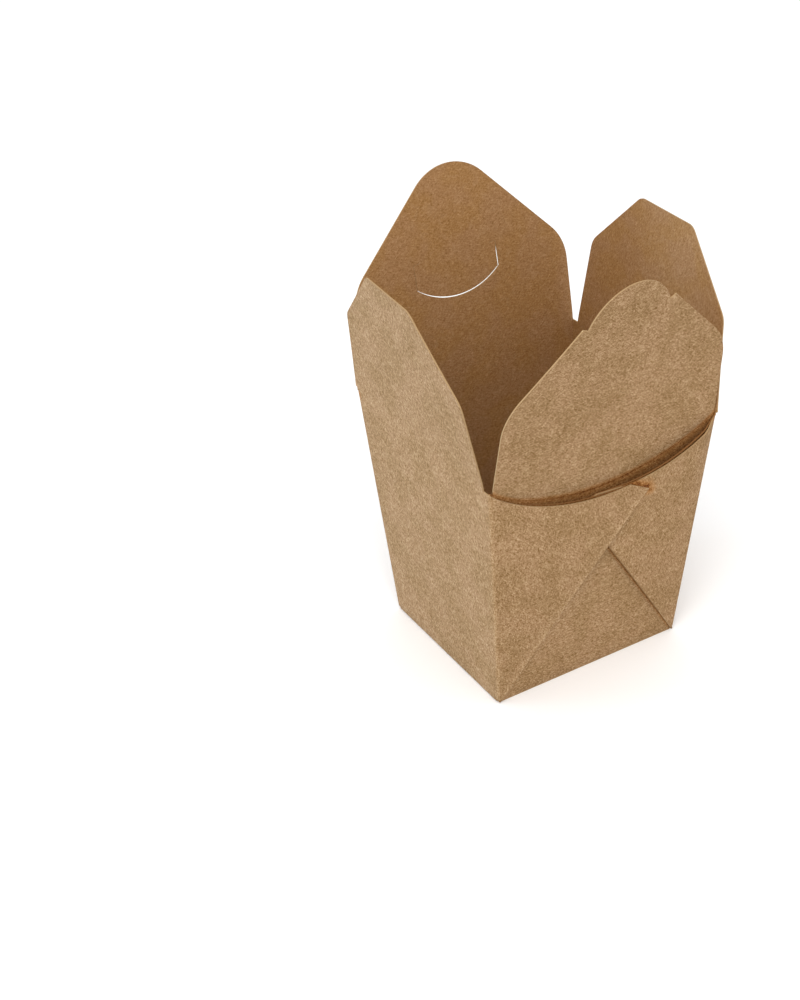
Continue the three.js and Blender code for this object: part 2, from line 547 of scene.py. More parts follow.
@dataclass(frozen=True)
class KraftBoard:
    """Unbleached kraft board, made by pressing long wood fibres together.

    It gives the eye a matt brown field that drifts a little greyer where the pulp is thicker, with
    a fine dark and light grain, pale tufts and fibres, and a few specks of bark. Down in creases, in
    gaps and beside folds it takes painted shade, darker and more orange like light bounced between
    board. At its corners and along a fold it is paler, partly rubbed and partly a painted highlight.
    """

    name: str
    body: str
    cloud: str
    tuft: str
    speck: str
    # Colour, share and depth of the painted shade in creases, gaps and under folds, warm like light
    # bounced between layers of board.
    crease: str
    crease_share: float = 0.75
    shade_depth: float = 0.45
    grain_depth: float = 1.7
    streak_depth: float = 1.9
    tuft_share: float = 0.42
    fibre_share: float = 0.35
    # How much paler the board is where it is rubbed and where a fold takes a painted highlight.
    wear_and_highlight_share: float = 0.6
    clouds: Noise = Noise(16.0 * MM, 1.0, 0.4)
    tufts: Noise = Noise(3.4 * MM, 2.5, 0.8)
    grain: Noise = Noise(0.75 * MM, 3.0, 0.2)
    cloud_range: Point = (0.36, 0.64)
    tuft_range: Point = (0.48, 0.70)
    strand_range: Point = (0.56, 0.72)
    # How sharply the painted shade darkens towards the deepest gaps.
    shade_edge: float = 4.0
    fibre_length: float = 2.2 * MM
    fibre_width: float = 0.36 * MM
    fibre_height: float = 0.6
    paleness: Triple = (1.0, 1.24, 1.73)
    speck_spacing: float = 4.5 * MM
    speck_size: float = 0.05
    speck_rarity: float = 0.55
    speck_share: float = 0.45
    grain_turns: tuple[float, ...] = (18.0, -38.0)
    relief: float = 0.06 * MM
    roughness: float = 0.86

    def build(self) -> bpy.types.Material:
        """Makes the material.

        Returns:
            The material.
        """
        material = start_material(self.name)
        tree = material.node_tree
        blank = add_node(tree, "ShaderNodeAttribute", {"attribute_name": "blank"})["Vector"]
        # Two masks: paler from wear and a painted highlight, and darker from painted shade.
        worn, pressed = (
            Number(tree, add_node(tree, "ShaderNodeAttribute", {"attribute_name": name})["Fac"])
            for name in ("worn", "pressed")
        )
        clouds, tufts, grain = (noise.add(tree, blank) for noise in (self.clouds, self.tufts, self.grain))
        first, second = (self.fibres(tree, blank, turn) for turn in self.grain_turns)
        cloudy, tufted, strands = (
            Number(tree, add_node(tree, "ShaderNodeMapRange", {
                "interpolation_type": "SMOOTHSTEP", "From Min": low, "From Max": high, "Value": noise,
            })[0])
            for noise, (low, high) in (
                (clouds, self.cloud_range), (tufts, self.tuft_range),
                (first.math("MAXIMUM", second), self.strand_range),
            )
        )
        pale = (tufted * self.tuft_share).math("MAXIMUM", strands * self.fibre_share)
        # Paler where rubbed and where a fold takes a painted highlight.
        pale = pale + worn * self.wear_and_highlight_share * grain
        streaks = (first + second - 1.0) * (self.streak_depth / 2)
        # Painted shade: deep gaps and the lines beside folds are darkened.
        darkened = pressed.math("POWER", self.shade_edge) * self.shade_depth
        varied = (grain - 0.5) * self.grain_depth + streaks - darkened
        # The painted shade browns the colour in creases, gaps and under folds.
        colour = paint_over(tree, self.body, [
            (cloudy, self.cloud), (pale, self.tuft), (pressed * self.crease_share, self.crease),
        ])
        # A pale fibre is greyer than the board, so its light rises most where the board is dim.
        shade = add_node(tree, "ShaderNodeVectorMath", {
            "operation": "MULTIPLY_ADD", 0: self.paleness, 1: varied, 2: (1.0, 1.0, 1.0),
        })[0]
        shaded = add_node(tree, "ShaderNodeVectorMath", {"operation": "MULTIPLY", 0: colour, 1: shade})[0]
        specked = add_node(tree, "ShaderNodeMix", {
            "data_type": "RGBA", 0: self.specks(tree, blank), 6: shaded, 7: linear(self.speck),
        })[2]
        height = strands * self.fibre_height + grain
        end_material(tree, specked, height, self.relief, self.roughness, 0.3)
        return material

    def fibres(self, tree: bpy.types.NodeTree, blank: Any, turn: float) -> Number:
        """Adds the fibres that lie at one angle to the grain.

        Args:
            tree: The material's tree.
            blank: Flat place on the board.
            turn: Angle to the grain, in degrees.

        Returns:
            A noise that is drawn out along the fibres, from 0 to 1.
        """
        laid = add_node(tree, "ShaderNodeMapping", {
            "Rotation": (0.0, 0.0, math.radians(turn)), "Location": (turn, turn, 0.0), "Vector": blank,
        })[0]
        drawn = add_node(tree, "ShaderNodeVectorMath", {
            "operation": "MULTIPLY", 0: laid, 1: (1 / self.fibre_width, 1 / self.fibre_length, 1.0),
        })[0]
        return Number(tree, add_node(tree, "ShaderNodeTexNoise", {
            "Scale": 1.0, "Detail": 1.5, "Roughness": 0.55, "Distortion": 0.6, "Vector": drawn,
        })[0])

    def specks(self, tree: bpy.types.NodeTree, blank: Any) -> Number:
        """Adds the sparse dark specks, one in some of the cells.

        Args:
            tree: The material's tree.
            blank: Flat place on the board.

        Returns:
            A mask that is above 0 on the specks.
        """
        cells = add_node(tree, "ShaderNodeTexVoronoi", {"Scale": 1 / self.speck_spacing, "Vector": blank})
        chance = Number(tree, add_node(tree, "ShaderNodeSeparateColor", {"Color": cells["Color"]})[0])
        small = Number(tree, cells["Distance"]).math("LESS_THAN", chance * self.speck_size)
        return small * chance.math("GREATER_THAN", self.speck_rarity) * self.speck_share


@dataclass(frozen=True)
class CutEdge:
    """The die-cut edge of the board: torn fibre ends, a little paler than its faces."""

    name: str = "kraft_board_cut_edge"
    pale: str = "#b0946e"
    shade: str = "#937550"
    # Colour of the painted shade on a cut edge that lies down in a gap, out of the light.
    crease: str = "#7d5228"
    ply: float = 0.35 * MM
    relief: float = 0.05 * MM

    def build(self) -> bpy.types.Material:
        """Makes the material.

        Returns:
            The material.
        """
        material = start_material(self.name)
        tree = material.node_tree
        place = add_node(tree, "ShaderNodeTexCoord")["Object"]
        noise = add_node(tree, "ShaderNodeTexNoise", {
            "Scale": 1 / self.ply, "Detail": 2.0, "Roughness": 0.6, "Vector": place,
        })[0]
        # Painted shade: the cut edge browns and darkens where it lies down in a gap.
        pressed = add_node(tree, "ShaderNodeAttribute", {"attribute_name": "pressed"})["Fac"]
        colour = paint_over(tree, self.shade, [(noise, self.pale), (pressed, self.crease)])
        end_material(tree, colour, noise, self.relief, 0.9, 0.2)
        return material


@dataclass
class Finishes:
    """The three finishes of the box."""

    outside: bpy.types.Material = field(init=False)
    inside: bpy.types.Material = field(init=False)
    edge: bpy.types.Material = field(init=False)

    def __post_init__(self) -> None:
        """Builds the materials."""
        self.outside = KraftBoard(
            "kraft_board_outside",
            # Its crease colour is the warm brown of the painted shade in gaps and under folds.
            body="#8c6d48", cloud="#957552", tuft="#b2946f", speck="#5f4326", crease="#a8723b",
        ).build()
        # The inside is pressed smoother under its grease barrier, and looks deeper and browner.
        self.inside = KraftBoard(
            "kraft_board_inside",
            body="#987042", cloud="#99724a", tuft="#b3906a", speck="#52381e", crease="#8a5a2c",
            crease_share=0.0, shade_depth=0.0, grain_depth=1.1, streak_depth=1.2,
            tuft_share=0.25, fibre_share=0.2, relief=0.03 * MM, roughness=0.75,
        ).build()
        self.edge = CutEdge().build()


@dataclass
class BoardTrees:
    """The geometry trees that give flat sheets their thickness, their fold and their beads."""

    board: float
    finishes: Finishes
    thicken: bpy.types.NodeTree = field(init=False)
    fold: bpy.types.NodeTree = field(init=False)
    bead: bpy.types.NodeTree = field(init=False)

    def __post_init__(self) -> None:
        """Builds the trees."""
        self.thicken = self.build_thicken()
        self.fold = self.build_fold()
        self.bead = self.build_bead()

    def new_tree(self, name: str, numbers: dict[str, float], *materials: str) -> tuple[Any, Any]:
        """Starts a geometry tree.

        Args:
            name: The tree's name.
            numbers: Its number inputs, with their values at the start.
            materials: Its material inputs.

        Returns:
            The tree and its inputs.
        """
        tree = bpy.data.node_groups.new(name, "GeometryNodeTree")
        tree.is_modifier = True
        for way in ("OUTPUT", "INPUT"):
            tree.interface.new_socket("Geometry", in_out=way, socket_type="NodeSocketGeometry")
        for label, value in numbers.items():
            socket = tree.interface.new_socket(label, in_out="INPUT", socket_type="NodeSocketFloat")
            socket.default_value = value
        for label in materials:
            tree.interface.new_socket(label, in_out="INPUT", socket_type="NodeSocketMaterial")
        return tree, add_node(tree, "NodeGroupInput")

    def build_thicken(self) -> bpy.types.NodeTree:
        """Makes the tree that turns a surface into board with two faces and cut edges.

        Returns:
            The tree.
        """
        tree, given = self.new_tree(
            "board_thickness", {"Thickness": self.board}, "Outside", "Inside", "Edge"
        )
        normal = add_node(tree, "GeometryNodeInputNormal")[0]
        back = add_node(tree, "ShaderNodeVectorMath", {
            "operation": "SCALE", 0: normal, "Scale": Number(tree, given["Thickness"]) * -0.5,
        })[0]
        middle = add_node(tree, "GeometryNodeSetPosition", {"Geometry": given[0], "Offset": back})[0]
        inner = add_node(tree, "GeometryNodeFlipFaces", {0: middle})[0]
        inner = add_node(tree, "GeometryNodeSetMaterial", {
            "Geometry": inner, "Material": given["Inside"],
        })[0]
        outer = add_node(tree, "GeometryNodeExtrudeMesh", {
            "mode": "FACES", "Individual": False, "Mesh": middle, "Offset Scale": given["Thickness"],
        })
        painted = outer["Mesh"]
        for part, material in (("Top", "Outside"), ("Side", "Edge")):
            painted = add_node(tree, "GeometryNodeSetMaterial", {
                "Geometry": painted, "Selection": outer[part], "Material": given[material],
            })[0]
        joined = add_node(tree, "GeometryNodeJoinGeometry", {0: [inner, painted]})[0]
        closed = add_node(tree, "GeometryNodeMergeByDistance", {
            "Geometry": joined, "Distance": WELD,
        })[0]
        turn = Number(tree, add_node(tree, "GeometryNodeInputMeshEdgeAngle")[0])
        cut = turn.math("GREATER_THAN", CRISP)
        crisp = add_node(tree, "GeometryNodeSetShadeSmooth", {
            "domain": "EDGE", "Geometry": closed, "Selection": cut, "Shade Smooth": False,
        })[0]
        real = add_node(tree, "GeometryNodeRealizeInstances", {"Geometry": crisp})[0]
        add_node(tree, "NodeGroupOutput", {0: real})
        return tree

    def build_fold(self) -> bpy.types.NodeTree:
        """Makes the tree that folds a flat flap up from its crease.

        The flat sheet has its fold line on y = 0. Its crease may lie below that, on an arc. There
        it takes the slope of the wall, draws in over the bowed panel, and then bends to its lean,
        which may differ from one end to the other.

        Returns:
            The tree.
        """
        numbers = {
            "Fold Height": 0.1, "Fold Reach": 0.05, "Half Width": 0.05, "Lean": 10.0,
            "Twist": 0.0, "Wall Slope": 0.0, "Bend": 3 * MM, "Drop": 0.0, "Sag": 0.0,
            "Bow": 0.0, "Bow Length": 0.02, "Turn": 0.0,
        }
        tree, given = self.new_tree("fold_flap", numbers)
        place = add_node(tree, "GeometryNodeInputPosition")[0]
        parts = add_node(tree, "ShaderNodeSeparateXYZ", {0: place})
        across, along = Number(tree, parts[0]), Number(tree, parts[1])
        height, reach, half, lean, twist, slope, bend, drop, sag, bow, bow_length, spin = (
            Number(tree, socket) for socket in given if socket.name in numbers
        )
        # How far the arc of the crease lies below its ends, and how far a point is above the crease.
        radius = (half * half + sag * sag) / sag * 0.5
        sunk = (radius * radius - across * across).math("MAXIMUM", 0.0).math("SQRT") - radius + sag
        above = along + (sunk + drop)
        raised = above.math("MAXIMUM", 0.0)
        # How far the lean takes it out. It comes in smoothly over the bend.
        share = across / half
        steeper = (lean + share * twist).math("RADIANS").math("SINE") - slope
        bend = sunk * 2.0 + bend
        in_bend = (bend - raised).math("MAXIMUM", 0.0)
        bent = raised - bend * 0.5 + in_bend * in_bend / bend * 0.5
        run = steeper * bent + slope * along
        # How far the bowed panel draws it in. That fades upwards.
        kept = (1.0 - above / bow_length).math("MAXIMUM", 0.0)
        drawn_in = (1.0 - share * share) * bow * (kept * kept)
        rise = along * lean.math("RADIANS").math("COSINE")
        folded = add_node(tree, "ShaderNodeCombineXYZ", {
            0: across, 1: (reach + (run - drawn_in)) * -1.0, 2: height + rise,
        })[0]
        turned = add_node(tree, "ShaderNodeVectorRotate", {
            "rotation_type": "Z_AXIS", "Vector": folded, "Angle": spin.math("RADIANS"),
        })[0]
        moved = add_node(tree, "GeometryNodeSetPosition", {"Geometry": given[0], "Position": turned})[0]
        real = add_node(tree, "GeometryNodeRealizeInstances", {"Geometry": moved})[0]
        add_node(tree, "NodeGroupOutput", {0: real})
        return tree

    def build_bead(self) -> bpy.types.NodeTree:
        """Makes the tree that sweeps a round bead along a fold.

        Returns:
            The tree.
        """
        tree, given = self.new_tree("fold_bead", {"Radius": self.board}, "Material")
        profile = add_node(tree, "GeometryNodeCurvePrimitiveCircle", {
            "Resolution": 10, "Radius": given["Radius"],
        })[0]
        swept = add_node(tree, "GeometryNodeCurveToMesh", {
            "Curve": given[0], "Profile Curve": profile, "Fill Caps": True,
        })[0]
        smooth = add_node(tree, "GeometryNodeSetShadeSmooth", {"Geometry": swept})[0]
        real = add_node(tree, "GeometryNodeRealizeInstances", {"Geometry": smooth})[0]
        painted = add_node(tree, "GeometryNodeSetMaterial", {
            "Geometry": real, "Material": given["Material"],
        })[0]
        add_node(tree, "NodeGroupOutput", {0: painted})
        return tree

    def finished(
        self, piece: bpy.types.Object, tree: bpy.types.NodeTree, values: dict[str, Any]
    ) -> bpy.types.Object:
        """Runs a tree on a piece and makes the result its plain mesh.

        Args:
            piece: The object that the tree works on.
            tree: The geometry tree.
            values: The tree's inputs, by name.

        Returns:
            The same object, or a mesh object of the same name where the piece was a curve.
        """
        modifier = piece.modifiers.new("shape", "NODES")
        modifier.node_group = tree
        for item in tree.interface.items_tree:
            if item.item_type == "SOCKET" and item.in_out == "INPUT" and item.name in values:
                modifier[item.identifier] = values[item.name]
        piece.update_tag()
        graph = bpy.context.evaluated_depsgraph_get()
        data = bpy.data.meshes.new_from_object(piece.evaluated_get(graph), depsgraph=graph)
        if piece.type == "MESH":
            piece.modifiers.remove(modifier)
            piece.data = data
            return piece
        name = piece.name
        bpy.data.objects.remove(piece)
        return add_object(name, data)

    def thickened(self, piece: bpy.types.Object) -> bpy.types.Object:
        """Gives a placed sheet its thickness and its finishes.

        Args:
            piece: The sheet's object.

        Returns:
            The same object.
        """
        finishes = self.finishes
        return self.finished(piece, self.thicken, {
            "Thickness": self.board,
            "Outside": finishes.outside, "Inside": finishes.inside, "Edge": finishes.edge,
        })


# --------------------------------------------------------------------------------------------
# The box
# --------------------------------------------------------------------------------------------


@dataclass
class Webs:
    """How far the layers over a gusseted side stand off the box's outer face.

    The web at the left corner lies outermost. Each web is two layers of board that are joined along
    its slanting fold and spring apart towards the rim, and the panel behind them bows inwards. The
    step between two layers is in thicknesses of board.
    """

    sizes: BoxSizes
    rim_half: float = 49.5 * MM
    rim_height: float = 100.0 * MM
    rim_sag: float = 17.4 * MM
    left_tip: Point = (19.0 * MM, 78.8 * MM)
    left_rim_end: float = 10.6 * MM
    right_tip: Point = (-9.4 * MM, 79.0 * MM)
    right_rim_end: float = -2.5 * MM
    left_spring: float = 2.2 * MM
    spring_reach: float = 66.0 * MM
    right_bulge: float = 1.8 * MM
    bulge_reach: float = 7.0 * MM
    right_lift: float = 0.7 * MM
    lift_reach: float = 13.0 * MM
    lift_end: float = 48.0 * MM
    lift_fade: float = 16.0 * MM
    right_tuck: float = 2.9 * MM
    tuck_start: float = 18.0 * MM
    tuck_reach: float = 44.0 * MM
    left_gap: float = 1.3 * MM
    right_gap: float = 0.9 * MM
    gap_reach: float = 26.0 * MM
    held_reach: float = 9.0 * MM
    layer_step: float = 0.95
    panel_step: float = 0.75 * MM
    panel_bow: float = 2.3 * MM
    # Strength and reach of the painted shadow beside a web's fold and of the painted shade below the rim.
    fold_shadow_mark: Mark = Mark(0.9, 1.5, 0.9 * MM)
    rim_shade_mark: Mark = Mark(0.85, 1.3, 8 * MM)
    fold_lines: Point = (0.45 * MM, 1.35 * MM)

    def rim(self, across: Numbers) -> Numbers:
        """Height of the rim of the webs."""
        return self.rim_height - arc_drop(across, self.rim_half, self.rim_sag)

    def rise(self, height: Numbers) -> np.ndarray:
        """How far up the webs a height is, from 0 at the floor to 1 at the rim's middle."""
        return np.clip(height / (self.rim_height - self.rim_sag), 0.0, 1.3)

    def from_corner(self, hand: int, across: np.ndarray, height: np.ndarray) -> np.ndarray:
        """Distance from the corner that a web folds from."""
        return np.maximum(self.sizes.half_width(Side.TAB, height) - hand * across, 0.0)

    def fold_line(self, hand: int) -> np.ndarray:
        """The line of a web's slanting fold on its side, from the floor to its tip."""
        tip = self.left_tip if hand == Hand.LEFT else self.right_tip
        return np.array([(hand * self.sizes.floor_half[1], 0.0), tip])

    def rim_points(self, hand: int, inset: float, drop: float = 0.0) -> list[Point]:
        """Points along a web's curved rim, from its fold to `inset` short of its corner.

        Args:
            hand: Which web.
            inset: How far short of the corner they end.
            drop: How far below the rim they lie.

        Returns:
            The points.
        """
        first = self.left_rim_end if hand == Hand.LEFT else self.right_rim_end
        route = np.linspace(first, hand * (self.rim_half - inset), 24)
        return [(float(across), float(self.rim(across)) - drop) for across in route]

    def outer_layer(self, hand: int, across: np.ndarray, height: np.ndarray) -> np.ndarray:
        """Stand-off of the middle of a web's outer layer.

        Args:
            hand: Which web.
            across: Places across the side.
            height: Heights above the floor.

        Returns:
            One stand-off for each place, positive outwards.
        """
        root = -self.sizes.board / 2
        out = self.from_corner(hand, across, height)
        up = self.rise(height)
        if hand == Hand.LEFT:
            return root + self.left_spring * (out / self.spring_reach) * smooth_step(up)
        bulge = self.right_bulge * smooth_step(out / self.bulge_reach) * np.power(up, 3)
        lift = self.right_lift * smooth_step(out / self.lift_reach) * smooth_step(up / 0.2)
        tuck = self.right_tuck * smooth_step((out - self.tuck_start) / self.tuck_reach)
        kept = smooth_step((self.lift_end - out) / self.lift_fade)
        return root + bulge + lift * kept - tuck * smooth_step(up)

    def inner_layer(self, hand: int, across: np.ndarray, height: np.ndarray) -> np.ndarray:
        """Stand-off of the middle of a web's inner layer.

        Args:
            hand: Which web.
            across: Places across the side.
            height: Heights above the floor.

        Returns:
            One stand-off for each place, positive outwards.
        """
        gap = self.left_gap if hand == Hand.LEFT else self.right_gap
        start, tip = self.fold_line(hand)
        along = (tip - start) / np.linalg.norm(tip - start)
        from_fold = hand * ((across - start[0]) * along[1] - (height - start[1]) * along[0])
        spread = smooth_step(from_fold / self.gap_reach)
        held = smooth_step(self.from_corner(hand, across, height) / self.held_reach)
        apart = gap * spread * held * np.power(self.rise(height), 2)
        return self.outer_layer(hand, across, height) - self.layer_step * self.sizes.board - apart

    def panel(self, across: np.ndarray, height: np.ndarray) -> np.ndarray:
        """Stand-off of the middle of the panel behind the webs, negative because it lies inside.

        Args:
            across: Places across the side.
            height: Heights above the floor.

        Returns:
            One stand-off for each place.
        """
        belly = np.clip(1 - np.square(across / self.rim_half), 0, 1)
        bow = self.panel_bow * belly * np.minimum(self.rise(height), 1.0) ** 2
        return -self.sizes.board / 2 - self.panel_step - bow

    def pressed_flat(self) -> "Webs":
        """The same webs squeezed flat against a panel that doesn't bow.

        Returns:
            The flat webs.
        """
        return replace(
            self, left_spring=1.3 * MM, right_bulge=0.0, right_lift=0.3 * MM, right_tuck=0.0,
            left_gap=0.0, right_gap=0.0, panel_bow=0.0,
        )

    def beside_fold(self, hand: int, shifts: Iterable[float], first: float, last: float) -> list[Line]:
        """Draws lines beside a web's slanting fold.

        Args:
            hand: Which web.
            shifts: Distances from the fold to the right of it.
            first: Where the lines start, as a share of the fold.
            last: Where they end.

        Returns:
            The lines, as places on the gusseted side.
        """
        start, tip = self.fold_line(hand)
        along = tip - start
        normal = np.array([along[1], -along[0]]) / np.linalg.norm(along)
        shares = np.linspace(first, last, 40)
        return [[tuple(start + along * share + normal * shift) for share in shares] for shift in shifts]

    def fold_shadow(self, places: np.ndarray, *hands: int) -> np.ndarray:
        """Painted shadow that the slanting folds of some webs cast on the sheet behind them."""
        return self.fold_shadow_mark.at(edge_distance(places, [self.fold_line(hand) for hand in hands]))

    def rim_shade(self, flat: np.ndarray) -> np.ndarray:
        """Painted shade on a sheet inside the webs: most of all near their rim."""
        return self.rim_shade_mark.at(self.rim(flat[:, 0]) - flat[:, 1])

    def panel_shade(self, flat: np.ndarray) -> np.ndarray:
        """Painted shade on a panel: near the rim, and as painted shadow along both webs' folds."""
        return np.maximum(self.rim_shade(flat), self.fold_shadow(flat, *Hand))


@dataclass
class Carton:
    """The floor, the four walls and the folded corner webs.

    The front and back walls are one sheet each with the outer layers of the webs at their ends. The
    gusseted sides are sheets that lie inside those, with the webs' inner layers in between. A line
    is a row of points that a sheet bends along, and a span is a share of a web's slanting fold. The
    panel's gaps and the size of the bead are in thicknesses of board.
    """

    sizes: BoxSizes
    webs: Webs
    trees: BoardTrees
    crease_gap: float = 1.0 * MM
    ledge: Point = (45.0 * MM, 41.6 * MM)
    crease_lift: float = 0.9 * MM
    bottom_radius: float = 1.0 * MM
    # Painted shade at a wall's top corner, and painted shadow beside the top edge of the web over it.
    corner_shade: Mark = Mark(1.0, 1.4, 2.6 * MM)
    edge_shadow: Mark = Mark(1.0, 1.6, 2.4 * MM)
    # How pale the left web's fold is made: partly wear, partly a painted highlight.
    fold_wear_and_highlight: Mark = Mark(1.0, 1.2, 2.4 * MM)
    corner_lines: Point = (2.0 * MM, 1.5 * MM)
    edge_lines: tuple[float, ...] = (0.3 * MM, 1.2 * MM, 2.2 * MM, 3.2 * MM)
    wall_fold_span: Point = (0.78, 0.96)
    panel_fold_span: Point = (0.05, 0.93)
    outer_inset: float = 0.4 * MM
    inner_inset: float = 1.2 * MM
    inner_drop: float = 0.25 * MM
    inner_foot: float = 1.5 * MM
    panel_foot_gap: float = 1.02
    panel_top_gap: float = 1.1
    bead_foot: Point = (0.6 * MM, 0.8 * MM)
    bead_size: float = 0.98

    def webs_on(self, side: int) -> Webs:
        """The webs of a gusseted side: loose under the tab flap, squeezed flat on the other."""
        return self.webs if side % 4 == Side.TAB else self.webs.pressed_flat()

    def round_under(self, height: np.ndarray) -> tuple[np.ndarray, np.ndarray]:
        """Rounds the fold between a wall and the floor.

        Args:
            height: Lengths up the wall's sheet.

        Returns:
            The height of each point, and how far it is drawn in under the box.
        """
        radius = self.bottom_radius
        angle = np.clip((radius - height) / radius, 0.0, math.pi / 2)
        low = radius - (radius - self.sizes.board / 2) * np.sin(angle)
        return np.where(height < radius, low, height), radius * (1 - np.cos(angle))

    def turned(self, side: int, across: np.ndarray, reach: np.ndarray, height: np.ndarray) -> np.ndarray:
        """Puts places that are given for one side into the box's frame."""
        cosine, sine = (round(turn(side * math.pi / 2)) for turn in (math.cos, math.sin))
        return np.c_[across * cosine + reach * sine, across * sine - reach * cosine, height]

    def wall_place(self, side: int, flat: np.ndarray) -> np.ndarray:
        """Stands a wall with its two outer web layers in the box, bent round both corners.

        Args:
            side: The wall's side, front or back.
            flat: Flat places on its sheet.

        Returns:
            The places in the box.
        """
        height, drawn = self.round_under(flat[:, 1])
        end = np.sign(flat[:, 0])
        half = self.sizes.half_width(side, height)
        depth = self.sizes.reach(side, height)
        radius = self.sizes.corner_radius
        beyond = np.abs(flat[:, 0]) - half
        over = -end * (depth - beyond)
        left = self.webs_on(side + 1).outer_layer(Hand.LEFT, over, height)
        right = self.webs_on(side - 1).outer_layer(Hand.RIGHT, over, height)
        off = np.where(beyond > 0, np.where(end > 0, left, right), -self.sizes.board / 2)
        angle = np.clip(beyond / radius + 1, 0, 2) * math.pi / 4
        bend = radius + off - drawn
        along = np.minimum(np.abs(flat[:, 0]), half - radius)
        across = end * (along + bend * np.sin(angle))
        reach = depth - radius - np.maximum(beyond - radius, 0) + bend * np.cos(angle)
        return self.turned(side, across, reach, height)

    def side_place(
        self, side: int, layer: Callable[[np.ndarray, np.ndarray], np.ndarray], flat: np.ndarray
    ) -> np.ndarray:
        """Stands a sheet up along a gusseted side.

        Args:
            side: The gusseted side.
            layer: Gives the stand-off at each place on the side.
            flat: Flat places on the sheet.

        Returns:
            The places in the box.
        """
        height, drawn = self.round_under(flat[:, 1])
        reach = self.sizes.reach(side, height) + layer(flat[:, 0], height) - drawn
        return self.turned(side, flat[:, 0], reach, height)

    def floor_place(self, flat: np.ndarray) -> np.ndarray:
        """Lays the floor flat, with its outer face down."""
        return np.c_[flat[:, 0], -flat[:, 1], np.full(len(flat), self.sizes.board / 2)]

    def round_box(self, hand: int, across: Numbers, height: Numbers) -> tuple[Numbers, Numbers]:
        """Place on a wall's sheet of a place on the gusseted side next to it.

        Args:
            hand: Which corner of that side the wall is at.
            across: Place across the side.
            height: Height above the floor.

        Returns:
            The place on the sheet.
        """
        wall = self.sizes.half_width(Side.FRONT, height)
        side = self.sizes.half_width(Side.TAB, height)
        return (-hand * (wall + side - hand * across), height)

    def on_side(self, hand: int, flat: np.ndarray) -> np.ndarray:
        """Place on the gusseted side next to a wall of a place on the wall's sheet.

        Args:
            hand: Which corner of that side the wall is at.
            flat: Flat places on the sheet.

        Returns:
            The places on the side, one to a row.
        """
        wall = self.sizes.half_width(Side.FRONT, flat[:, 1])
        side = self.sizes.half_width(Side.TAB, flat[:, 1])
        return np.c_[flat[:, 0] + hand * (wall + side), flat[:, 1]]

    def worn(self, flat: np.ndarray) -> np.ndarray:
        """Says how pale the wall's sheet is at its corners and its left web's fold: partly rubbed, partly
        a painted highlight.

        Args:
            flat: Flat places on the sheet.

        Returns:
            One number for each place, from 0 to 1.
        """
        beyond = np.abs(flat[:, 0]) - self.sizes.half_width(Side.FRONT, flat[:, 1])
        corner = np.clip(1 - np.abs(beyond) / self.sizes.corner_radius, 0.0, 1.0)
        fold = edge_distance(self.on_side(Hand.LEFT, flat), [self.webs.fold_line(Hand.LEFT)])
        return np.maximum(corner, self.fold_wear_and_highlight.at(fold))

    def pressed(self, flat: np.ndarray) -> np.ndarray:
        """Painted shade on the wall's sheet: at its top corner, and from the web over it.

        Args:
            flat: Flat places on the sheet.

        Returns:
            One number for each place, from 0 to 1.
        """
        wall = self.sizes.half_width(Side.FRONT, flat[:, 1])
        corner = np.hypot(flat[:, 0] + wall, flat[:, 1] - self.sizes.height)
        end = self.webs.left_rim_end
        edge = np.array([self.webs.left_tip, (end, float(self.webs.rim(end)))])
        places = self.on_side(Hand.RIGHT, flat)
        return np.maximum.reduce([
            self.corner_shade.at(corner),
            self.edge_shadow.at(edge_distance(places, [edge])),
            self.webs.fold_shadow(places, Hand.LEFT),
        ])

    def wall_sheet(self) -> FlatSheet:
        """Draws the front or back wall with the outer layers of its two webs.

        Returns:
            The sheet, with x measured round the box from the middle of the wall.
        """
        sizes, webs = self.sizes, self.webs
        foot, bottom = sizes.half_width(Side.FRONT, 0.0), self.bottom_radius * (1 - math.pi / 2)
        top = sizes.half_width(Side.FRONT, sizes.height)
        flap_foot = sizes.height - self.crease_gap
        left_end, right_end = self.ledge
        left_rim, right_rim = (
            [self.round_box(hand, *point) for point in webs.rim_points(hand, self.outer_inset)]
            for hand in Hand
        )
        outline: list[Point] = [
            (-foot, bottom), (foot, bottom), self.round_box(Hand.LEFT, *webs.left_tip), *left_rim,
            (top, sizes.height), (right_end, sizes.height), (right_end, flap_foot),
            (-left_end, flap_foot), (-left_end, sizes.height), (-top, sizes.height),
            *right_rim[::-1], self.round_box(Hand.RIGHT, *webs.right_tip),
        ]
        levels = np.linspace(self.corner_lines[0], sizes.height - self.corner_lines[1], 24)
        folds: list[Line] = [
            [(end * (sizes.half_width(Side.FRONT, z) + share * sizes.corner_radius), z) for z in levels]
            for end in (-1, 1) for share in (-1.0, -0.5, 0.0, 0.5, 1.0)
        ]
        rim_end = np.array([webs.left_rim_end, float(webs.rim(webs.left_rim_end))])
        edge = np.linspace(rim_end, np.array(webs.left_tip), 8)[1:]
        beside = [edge + [0.0, lift] for lift in self.edge_lines]
        beside += webs.beside_fold(Hand.LEFT, webs.fold_lines, *self.wall_fold_span)
        folds += [[self.round_box(Hand.RIGHT, x, y) for x, y in line] for line in beside]
        return FlatSheet(outline, folds=folds + self.foot_lines(foot))

    def foot_lines(self, foot: float) -> list[Line]:
        """The lines of a sheet's fold towards the floor, which stop just short of its ends."""
        return level_lines(foot - 2 * MM, [level * self.bottom_radius for level in (0.0, 0.5, 1.0)])

